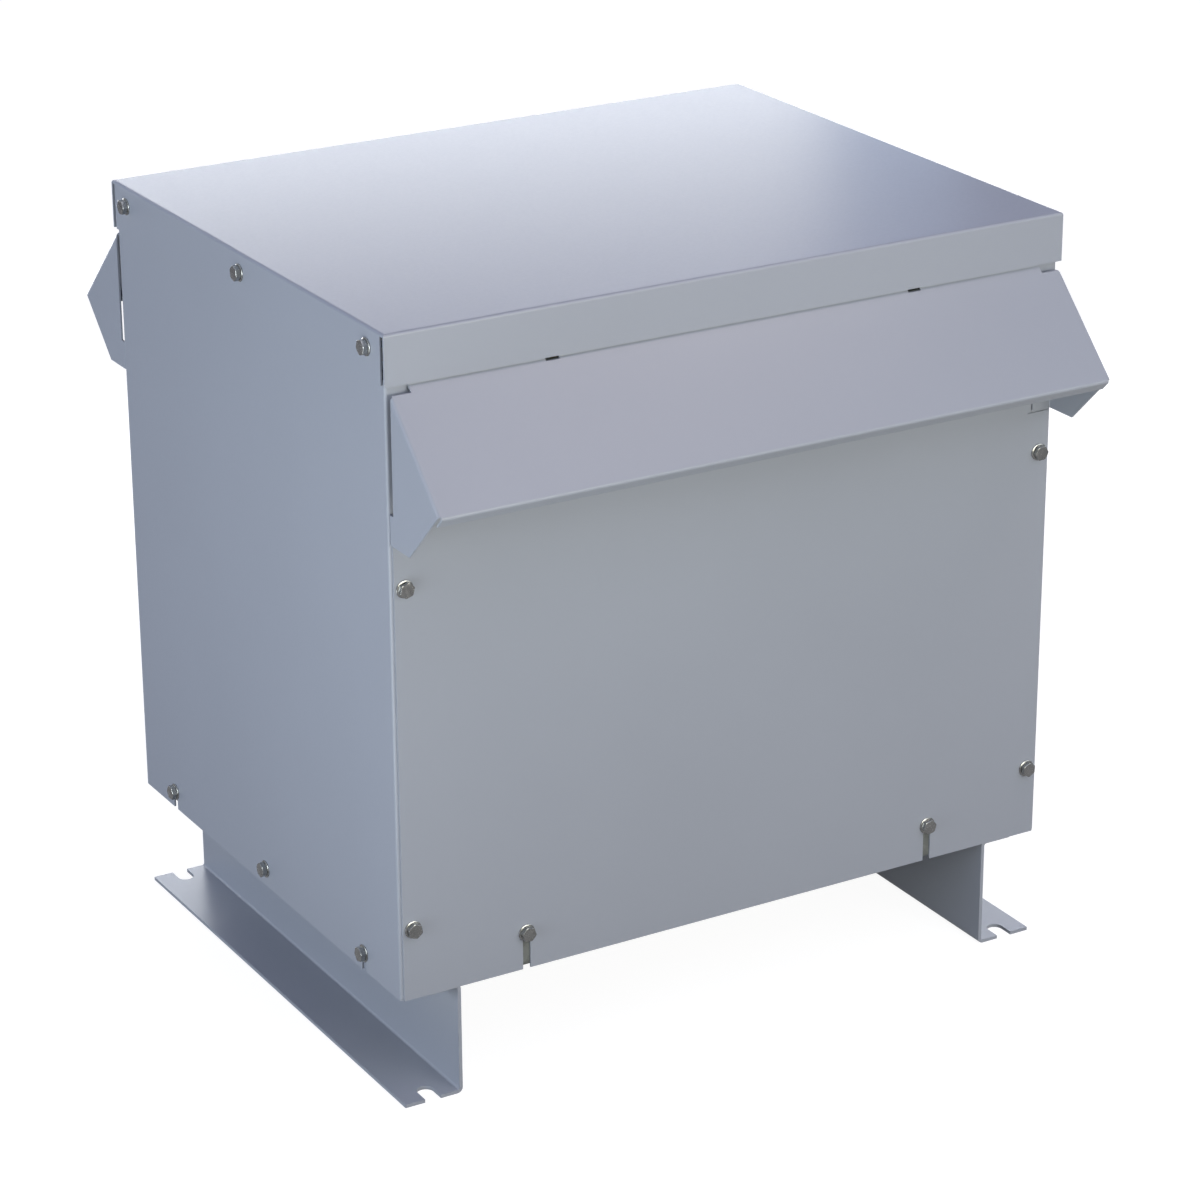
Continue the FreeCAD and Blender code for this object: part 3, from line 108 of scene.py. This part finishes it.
class Net:
    """A node tree with short ways to add nodes and links."""

    def __init__(self, tree):
        self.tree = tree

    def node(self, kind, **settings):
        made = self.tree.nodes.new(kind)
        for key, value in settings.items():
            setattr(made, key, value)
        return made

    def link(self, source, target):
        self.tree.links.new(source, target)

    def ranged(self, source, low, high, start=0.3, end=0.7, blend="LINEAR"):
        """The source between start and end, spread from low to high."""
        made = self.node("ShaderNodeMapRange", interpolation_type=blend)
        made.inputs["From Min"].default_value = start
        made.inputs["From Max"].default_value = end
        made.inputs["To Min"].default_value = low
        made.inputs["To Max"].default_value = high
        self.link(source, made.inputs["Value"])
        return made.outputs["Result"]

    def mixed(self, factor, first, second):
        """first and second are colours, or the sources of one."""
        made = self.node("ShaderNodeMix", data_type="RGBA")
        for socket, value in ((made.inputs[6], first), (made.inputs[7], second)):
            if isinstance(value, tuple):
                socket.default_value = (*value, 1.0)
            else:
                self.link(value, socket)
        self.link(factor, made.inputs[0])
        return made.outputs[2]

    def maths(self, operation, *values):
        """The values are numbers or sources."""
        made = self.node("ShaderNodeMath", operation=operation)
        for socket, value in zip(made.inputs, values):
            if isinstance(value, float):
                socket.default_value = value
            else:
                self.link(value, socket)
        return made.outputs[0]

    def seen_by(self, *names):
        """1 for the named kinds of ray, 0 for all others."""
        path = self.node("ShaderNodeLightPath")
        total = path.outputs[names[0]]
        for name in names[1:]:
            total = self.maths("MAXIMUM", total, path.outputs[name])
        return total

    def chosen(self, factor, first, second):
        """The second shader where the factor is 1, the first where it is 0."""
        made = self.node("ShaderNodeMixShader")
        self.link(factor, made.inputs[0])
        self.link(first, made.inputs[1])
        self.link(second, made.inputs[2])
        return made.outputs[0]


class Shader(Net):
    """A Principled material with helpers for the textures that feed it."""

    def __init__(self, name, colour, roughness, metallic=0.0, specular=0.5):
        self.mat = bpy.data.materials.new(name)
        self.mat.use_nodes = True
        super().__init__(self.mat.node_tree)
        self.bsdf = self.tree.nodes["Principled BSDF"]
        self.bsdf.inputs["Base Color"].default_value = (*colour, 1.0)
        self.bsdf.inputs["Roughness"].default_value = roughness
        self.bsdf.inputs["Metallic"].default_value = metallic
        self.bsdf.inputs["Specular IOR Level"].default_value = specular
        self.place = self.node("ShaderNodeTexCoord").outputs["Object"]

    def stretched(self, scale):
        mapping = self.node("ShaderNodeMapping")
        mapping.inputs["Scale"].default_value = scale
        self.link(self.place, mapping.inputs["Vector"])
        return mapping.outputs["Vector"]

    def noise(self, scale, detail=3.0, stretch=None):
        made = self.node("ShaderNodeTexNoise")
        made.inputs["Scale"].default_value = scale
        made.inputs["Detail"].default_value = detail
        place = self.place if stretch is None else self.stretched(stretch)
        self.link(place, made.inputs["Vector"])
        return made.outputs["Fac"]

    def bands(self, axis, pitch, distortion=0.0):
        made = self.node("ShaderNodeTexWave", wave_type="BANDS", bands_direction=axis)
        made.inputs["Scale"].default_value = math.pi / 10 / pitch
        made.inputs["Distortion"].default_value = distortion
        made.inputs["Detail Scale"].default_value = 2.0
        self.link(self.place, made.inputs["Vector"])
        return made.outputs["Fac"]

    def crystals(self, scale):
        made = self.node("ShaderNodeTexVoronoi")
        made.inputs["Scale"].default_value = scale
        self.link(self.place, made.inputs["Vector"])
        return made.outputs["Color"]

    def colour(self, source):
        self.link(source, self.bsdf.inputs["Base Color"])

    def roughness(self, source):
        self.link(source, self.bsdf.inputs["Roughness"])

    def bump(self, *layers):
        """layers are (height source, depth in metres); later ones lie on the earlier."""
        normal = None
        for source, depth in layers:
            made = self.node("ShaderNodeBump")
            made.inputs["Strength"].default_value = 1.0
            made.inputs["Distance"].default_value = depth
            self.link(source, made.inputs["Height"])
            if normal is not None:
                self.link(normal, made.inputs["Normal"])
            normal = made.outputs["Normal"]
        self.link(normal, self.bsdf.inputs["Normal"])


# Materials

def shade(colour, factor):
    return tuple(c * factor for c in colour)


def powder_coat():
    grey = (0.319, 0.342, 0.380)
    s = Shader("satin_powder_coat", grey, 0.32)
    broad = s.noise(5.0, 2.0)
    fine = s.noise(420.0, 2.0)
    s.colour(s.mixed(s.ranged(broad, 0.0, 1.0), shade(grey, 0.985), shade(grey, 1.015)))
    s.roughness(s.ranged(fine, 0.29, 0.35))
    s.bump((s.noise(260.0, 2.0), 0.00002), (s.noise(1500.0, 1.0), 0.000006))
    return s.mat


def plated_metal(name, colour, roughness):
    s = Shader(name, colour, roughness, metallic=1.0)
    cloud = s.noise(160.0, 4.0)
    s.colour(s.mixed(s.ranged(cloud, 0.0, 1.0), shade(colour, 0.86), shade(colour, 1.08)))
    s.roughness(s.ranged(s.noise(700.0), roughness - 0.06, roughness + 0.08))
    s.bump((s.noise(1800.0, 2.0), 0.000008))
    return s.mat


def zinc_and_painted_shade():
    """Dull zinc with the faint patches of its crystals. Its grey is also set darker than bare
    zinc as painted shade, for the frame parts seen in shadow through the slots, slits and
    notches.
    """
    # Painted shade: this zinc grey is darkened so that the shaded slots, slits and notches read
    # dark
    grey = (0.165, 0.174, 0.160)
    s = Shader("frame_zinc_and_painted_shade", grey, 0.5, metallic=0.25)
    patches = s.ranged(s.crystals(170.0), 0.0, 1.0)
    s.colour(s.mixed(patches, shade(grey, 0.88), shade(grey, 1.12)))
    s.roughness(s.ranged(s.noise(500.0), 0.44, 0.6))
    s.bump((s.noise(900.0, 2.0), 0.00003))
    return s.mat


def primer():
    grey = (0.022, 0.024, 0.027)
    s = Shader("black_primer", grey, 0.62)
    cloud = s.noise(30.0, 5.0)
    s.colour(s.mixed(s.ranged(cloud, 0.0, 1.0), shade(grey, 0.75), shade(grey, 1.6)))
    s.roughness(s.ranged(s.noise(400.0), 0.52, 0.72))
    s.bump((s.noise(900.0, 3.0), 0.00005))
    return s.mat


def rubber():
    black = (0.012, 0.012, 0.012)
    s = Shader("ribbed_rubber", black, 0.8)
    dust = s.noise(90.0, 5.0)
    s.colour(s.mixed(s.ranged(dust, 0.0, 1.0), black, (0.03, 0.029, 0.027)))
    s.bump((s.bands("Z", 0.002), 0.0003), (s.noise(1200.0), 0.00006))
    return s.mat


def core_steel():
    grey = (0.04, 0.041, 0.044)
    varnish = (0.07, 0.055, 0.04)
    s = Shader("varnished_laminations", grey, 0.45, metallic=0.4)
    sheets = s.bands("Y", 0.001, 0.4)
    cloud = s.ranged(s.noise(25.0, 5.0), 0.0, 1.0)
    edges = s.ranged(sheets, 0.0, 1.0, 0.2, 0.8)
    s.colour(s.mixed(edges, shade(grey, 0.5), s.mixed(cloud, grey, varnish)))
    s.roughness(s.ranged(s.noise(300.0), 0.32, 0.55))
    s.bump((sheets, 0.00012), (s.noise(700.0), 0.00003))
    return s.mat


def winding(name, light, dark, pitch):
    s = Shader(name, light, 0.35)
    turns = s.bands("Z", pitch, 0.15)
    drips = s.noise(22.0, 5.0, (1.0, 1.0, 0.25))
    body = s.mixed(s.ranged(drips, 0.0, 1.0), light, dark)
    s.colour(s.mixed(s.ranged(turns, 0.0, 1.0, 0.05, 0.45), shade(dark, 0.45), body))
    s.roughness(s.ranged(s.noise(260.0), 0.22, 0.45))
    s.bump((turns, pitch * 0.3), (s.noise(500.0, 3.0), 0.0001))
    return s.mat


def laminate_board():
    tan = (0.35, 0.22, 0.09)
    s = Shader("pressed_laminate", tan, 0.55)
    fibres = s.noise(60.0, 6.0, (8.0, 1.0, 8.0))
    s.colour(s.mixed(s.ranged(fibres, 0.0, 1.0), shade(tan, 0.8), shade(tan, 1.15)))
    s.roughness(s.ranged(s.noise(500.0), 0.45, 0.65))
    s.bump((fibres, 0.00006), (s.noise(900.0), 0.00004))
    return s.mat


def brushed_metal(name, colour, roughness, stretch):
    s = Shader(name, colour, roughness, metallic=1.0)
    grain = s.noise(900.0, 3.0, stretch)
    s.colour(s.mixed(s.ranged(grain, 0.0, 1.0), shade(colour, 0.9), shade(colour, 1.04)))
    s.roughness(s.ranged(grain, roughness - 0.08, roughness + 0.12))
    s.bump((grain, 0.00003))
    return s.mat


def woven_sleeve():
    black = (0.014, 0.014, 0.015)
    s = Shader("woven_sleeve", black, 0.6)
    across = s.bands("DIAGONAL", 0.0014)
    along = s.bands("Z", 0.0016)
    s.colour(s.mixed(s.ranged(across, 0.0, 1.0), black, shade(black, 2.2)))
    s.bump((across, 0.0002), (along, 0.0002))
    return s.mat


def braided_strap():
    tin = (0.5, 0.49, 0.46)
    s = Shader("tinned_braid", tin, 0.38, metallic=1.0)
    strands = s.bands("DIAGONAL", 0.0011)
    s.colour(s.mixed(s.ranged(strands, 0.0, 1.0), shade(tin, 0.4), tin))
    s.roughness(s.ranged(s.noise(600.0), 0.3, 0.5))
    s.bump((strands, 0.0002))
    return s.mat


MATERIALS = {
    "painted_sheet": powder_coat(),
    # The frame steel is dull zinc whose grey is partly painted shade
    "coated_frame": zinc_and_painted_shade(),
    "plated_screws": plated_metal("zinc_plated_screw", (0.34, 0.34, 0.325), 0.22),
    "zinc_hardware": plated_metal("zinc_plated_bolt", (0.46, 0.46, 0.45), 0.38),
    "primed_steel": primer(),
    "rubber_pad": rubber(),
    "core_steel": core_steel(),
    "lv_winding": winding("foil_winding", (0.30, 0.15, 0.045), (0.12, 0.05, 0.015), 0.006),
    "hv_winding": winding("wire_winding", (0.20, 0.075, 0.02), (0.07, 0.025, 0.008), 0.0032),
    "insulation": laminate_board(),
    "bus_aluminium": brushed_metal("mill_aluminium", (0.62, 0.62, 0.63), 0.34, (0.05, 1.0, 1.0)),
    "stud_brass": brushed_metal("turned_brass", (0.53, 0.34, 0.10), 0.3, (1.0, 0.05, 1.0)),
    "lead_sleeve": woven_sleeve(),
    "tinned_strap": braided_strap(),
}


def dress_nodes():
    for part in frame["record"]["subparts"]:
        mesh = NODES[part["node"]].data
        mesh.materials.clear()
        mesh.materials.append(MATERIALS[part["material_slot"]])


# Screws

def hex_reach(angle):
    """Distance from the axis to the head's side, with the corners slightly broken."""
    side = math.tau / HEX_SIDES
    off = (angle % side) - side / 2
    return min(HEAD_ACROSS / 2 / math.cos(off), HEAD_CORNER)


def head_shoulder(angle):
    """Height of the head's upper edge, which falls away towards the corners."""
    return HEAD_TOP - max(0.0, hex_reach(angle) - HEAD_CROWN) * HEAD_BEVEL


class Turned:
    """Rings of points around an axis, joined into one closed skin."""

    def __init__(self, seat, axis, twist=0.0):
        spin = Matrix.Rotation(twist, 4, "Z")
        turn = Vector(axis).to_track_quat("Z", "Y").to_matrix().to_4x4()
        self.place = Matrix.Translation(seat) @ turn @ spin
        self.rings = []

    def ring(self, reach, height, count=AROUND):
        """reach and height are numbers, or functions of the angle."""
        points = []
        for i in range(count):
            angle = math.tau * i / count
            r = reach(angle) if callable(reach) else reach
            h = height(angle) if callable(height) else height
            points.append((r * math.cos(angle), r * math.sin(angle), h))
        self.rings.append(points)

    def skin(self, bm):
        before = None
        for points in self.rings:
            verts = [bm.verts.new(self.place @ Vector(p)) for p in points]
            if before is None:
                bm.faces.new(list(reversed(verts)))
            else:
                count = len(verts)
                for i in range(count):
                    j = (i + 1) % count
                    bm.faces.new((before[i], before[j], verts[j], verts[i]))
            before = verts
        bm.faces.new(before)


def add_flange(bm, seat, axis):
    disc = Turned(seat, axis)
    disc.ring(FLANGE_REACH - FLANGE_ROUND, 0.0)
    disc.ring(FLANGE_REACH, FLANGE_ROUND)
    disc.ring(FLANGE_REACH, FLANGE_THICKNESS * 0.62)
    disc.ring(FLANGE_REACH - FLANGE_ROUND, FLANGE_THICKNESS * 0.78)
    disc.ring(FLANGE_REACH * 0.8, FLANGE_THICKNESS)
    disc.skin(bm)


def add_head(bm, seat, axis, twist):
    """A flat-faced hex head whose rim is barely broken."""
    head = Turned(seat, axis, twist)
    head.ring(lambda a: hex_reach(a) - HEAD_FOOT_TAPER, HEAD_BASE - HEAD_FOOT_DEPTH)
    head.ring(hex_reach, HEAD_BASE)
    head.ring(hex_reach, lambda a: head_shoulder(a) - HEAD_RIM)
    head.ring(lambda a: hex_reach(a) - HEAD_RIM, head_shoulder)
    head.ring(lambda a: hex_reach(a) - HEAD_FACE_INSET, HEAD_TOP)
    head.skin(bm)


def thread_reach(angle, depth):
    """Radius of the thread at a depth below the seat, smaller at the tapered tip."""
    turn = (depth / THREAD_PITCH - angle / math.tau) % 1.0
    taper = min(1.0, (THREAD_LENGTH - depth) / THREAD_PITCH + 0.3)
    return THREAD_RADIUS - THREAD_DEPTH * max(abs(2 * turn - 1), 1 - taper)


def add_thread(bm, seat, axis):
    shank = Turned(seat, -Vector(axis))
    steps = round(THREAD_LENGTH / THREAD_PITCH * THREAD_STEPS)
    for i in range(steps + 1):
        depth = THREAD_LENGTH * i / steps
        shank.ring(lambda a, d=depth: thread_reach(a, d), depth, THREAD_AROUND)
    shank.skin(bm)


def finished(name, bm, slot, stands_for):
    """The bmesh as a riding piece with its slot's material."""
    bmesh.ops.recalc_face_normals(bm, faces=bm.faces)
    mesh = bpy.data.meshes.new(name)
    bm.to_mesh(mesh)
    bm.free()
    mesh.materials.append(MATERIALS[slot])
    piece = bpy.data.objects.new(name, mesh)
    SCENE.collection.objects.link(piece)
    mesh.shade_smooth()
    mesh.set_sharp_from_angle(angle=math.radians(SHARP_ANGLE))
    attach(piece, "root")
    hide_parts(stands_for)
    return piece


def vertex_groups(node):
    """The vertices of a CAD node, parted into its solids by their distance."""
    groups = []
    for vertex in NODES[node].data.vertices:
        point = NODES[node].matrix_world @ vertex.co
        near = [g for g in groups if (g[0] - point).length < SCREW_SPACING]
        if near:
            near[0].append(point)
        else:
            groups.append([point])
    return groups


def seat_under(points):
    """The seat of a screw's head and the direction that it faces, away from the middle."""
    low = [min(p[i] for p in points) for i in range(3)]
    high = [max(p[i] for p in points) for i in range(3)]
    seat = [(a + b) / 2 for a, b in zip(low, high)]
    along = max(range(3), key=lambda i: high[i] - low[i])
    outward = math.copysign(1.0, seat[along])
    end = high[along] if outward > 0 else low[along]
    seat[along] = end - outward * HEAD_TOP
    axis = [0.0, 0.0, 0.0]
    axis[along] = outward
    return [round(value, 4) for value in seat], axis


def screw_places(node):
    """The screws' seats and directions, the outermost columns first and each from the top."""
    places = [seat_under(points) for points in vertex_groups(node)]
    return sorted(places, key=lambda p: (-abs(p[0][0]), p[0][0], -p[0][2], p[0][1]))


def washer_head_screws(name, node):
    """Finer screws in the places of a CAD node's plain ones."""
    bm = bmesh.new()
    for i, (seat, axis) in enumerate(screw_places(node)):
        add_flange(bm, seat, axis)
        add_head(bm, seat, axis, math.radians(FIRST_TWIST + NEXT_TWIST * i))
        add_thread(bm, seat, axis)
    finished(name, bm, "plated_screws", node)


# Camera and setting

def add_camera():
    data = bpy.data.cameras.new("camera")
    data.sensor_width = CAMERA_SENSOR
    data.lens = CAMERA_LENS
    data.clip_end = CAMERA_REACH
    camera = bpy.data.objects.new("camera", data)
    turn = Euler([math.radians(angle) for angle in CAMERA_TURN])
    camera.matrix_world = Matrix.LocRotScale(Vector(CAMERA_PLACE), turn, None)
    SCENE.collection.objects.link(camera)
    SCENE.camera = camera


def add_panel_light(name, place, aim, size, power, colour):
    data = bpy.data.lights.new(name, "AREA")
    data.shape = "RECTANGLE"
    data.size, data.size_y = size
    data.energy = power
    data.color = colour
    light = bpy.data.objects.new(name, data)
    light.location = place
    facing = Vector(aim) - Vector(place)
    light.rotation_mode = "QUATERNION"
    light.rotation_quaternion = facing.to_track_quat("-Z", "Y")
    light.visible_camera = False
    SCENE.collection.objects.link(light)


def add_lamps():
    """Soft panels in front and at the left, and low ones behind for the lid's light band."""
    add_panel_light("front_low", (0.2, -2.2, 0.8), FRONT, (1.6, 1.0), 26.6, (1.0, 0.98, 0.87))
    add_panel_light("front_high", (0.0, -1.8, 1.9), MIDDLE, (1.6, 1.0), 6.6, (0.86, 0.93, 1.0))
    add_panel_light("front_left", (-1.2, -2.0, 1.2), FRONT, (1.2, 1.2), 3.8, (1.0, 0.95, 0.6))
    add_panel_light("front_right", (1.7, -1.8, 1.2), FRONT, (1.2, 1.2), 6.5, (0.96, 1.0, 0.97))
    add_panel_light("front_top", (0.2, -1.2, 2.4), UPPER, (1.4, 0.8), 5.2, (0.95, 0.87, 1.0))
    add_panel_light("key_high", (1.1, -0.75, 2.5), UPPER, (0.5, 0.5), 4.6, (1.0, 0.8, 0.72))
    add_panel_light("left_low", (-2.2, -0.3, 0.45), LEFT, (1.6, 0.5), 26.5, (0.86, 0.94, 1.0))
    add_panel_light("left_edge", (-1.3, -0.85, 0.02), (-1.3, -0.85, 1.0), (1.2, 1.0), 11.0,
                    (0.88, 0.94, 1.0))
    add_panel_light("rear", (0.5, 1.5, 0.45), REAR_TOP, (2.6, 0.4), 21.2, (0.96, 0.98, 1.0))
    add_panel_light("lid_band", (0.3, 0.9, 0.82), LID_TOP, (1.3, 0.22), 1.6, (0.63, 0.78, 1.0))
    add_panel_light("lid_glow", (0.3, 1.3, 0.95), LID_TOP, (1.5, 0.22), 3.8, (1.0, 0.95, 0.84))


def floor_material():
    """A dull grey that also glows, and that is clear from below."""
    mat = bpy.data.materials.new("studio_floor")
    mat.use_nodes = True
    net = Net(mat.node_tree)
    net.tree.nodes.clear()
    lit = net.node("ShaderNodeBsdfDiffuse")
    lit.inputs["Color"].default_value = (FLOOR_GREY, FLOOR_GREY, FLOOR_GREY, 1.0)
    distance = net.node("ShaderNodeVectorMath", operation="LENGTH")
    net.link(net.node("ShaderNodeTexCoord").outputs["Object"], distance.inputs[0])
    far = net.ranged(distance.outputs["Value"], FLOOR_NEAR_GLOW, 1.0, FLOOR_NEAR, FLOOR_FAR,
                     "SMOOTHSTEP")
    shown = net.maths("MULTIPLY", far, net.seen_by("Is Camera Ray", "Is Transmission Ray"))
    strength = net.maths("MULTIPLY_ADD", net.seen_by("Is Glossy Ray"), FLOOR_MIRRORED, shown)
    glow = net.node("ShaderNodeEmission")
    net.link(strength, glow.inputs["Strength"])
    both = net.node("ShaderNodeAddShader")
    net.link(lit.outputs[0], both.inputs[0])
    net.link(glow.outputs[0], both.inputs[1])
    clear = net.node("ShaderNodeBsdfTransparent")
    below = net.node("ShaderNodeNewGeometry").outputs["Backfacing"]
    out = net.node("ShaderNodeOutputMaterial")
    net.link(net.chosen(below, both.outputs[0], clear.outputs[0]), out.inputs["Surface"])
    return mat


def add_floor():
    mesh = bpy.data.meshes.new("studio_floor")
    corners = [(-FLOOR_HALF, -FLOOR_HALF, 0.0), (FLOOR_HALF, -FLOOR_HALF, 0.0),
               (FLOOR_HALF, FLOOR_HALF, 0.0), (-FLOOR_HALF, FLOOR_HALF, 0.0)]
    mesh.from_pydata(corners, [], [(0, 1, 2, 3)])
    mesh.materials.append(floor_material())
    floor = bpy.data.objects.new("studio_floor", mesh)
    SCENE.collection.objects.link(floor)


def add_world():
    """White to look at, dimmer near the horizon in mirror images, and a faint blue fill."""
    world = bpy.data.worlds.new("studio")
    world.use_nodes = True
    SCENE.world = world
    net = Net(world.node_tree)
    net.tree.nodes.clear()
    fill = net.node("ShaderNodeBackground")
    fill.inputs["Color"].default_value = (*FILL_COLOUR, 1.0)
    fill.inputs["Strength"].default_value = FILL_STRENGTH
    axes = net.node("ShaderNodeSeparateXYZ")
    net.link(net.node("ShaderNodeTexCoord").outputs["Generated"], axes.inputs[0])
    height = net.ranged(axes.outputs["Z"], 0.0, 1.0, HAZE_LOW, HAZE_HIGH, "SMOOTHSTEP")
    mirrored = net.node("ShaderNodeBackground")
    net.link(net.mixed(height, HAZE_LOW_COLOUR, HAZE_HIGH_COLOUR), mirrored.inputs["Color"])
    white = net.node("ShaderNodeBackground")
    white.inputs["Color"].default_value = (1.0, 1.0, 1.0, 1.0)
    unseen = net.chosen(net.seen_by("Is Glossy Ray"), fill.outputs[0], mirrored.outputs[0])
    shown = net.seen_by("Is Camera Ray", "Is Transmission Ray")
    out = net.node("ShaderNodeOutputWorld")
    net.link(net.chosen(shown, unseen, white.outputs[0]), out.inputs["Surface"])


dress_nodes()
washer_head_screws("lid_hex_screws", "cover_screws")
washer_head_screws("side_hex_screws", "side_panel_screws")
washer_head_screws("front_hex_screws", "front_panel_screws")
washer_head_screws("rear_hex_screws", "rear_panel_screws")
add_camera()
add_floor()
add_world()
add_lamps()
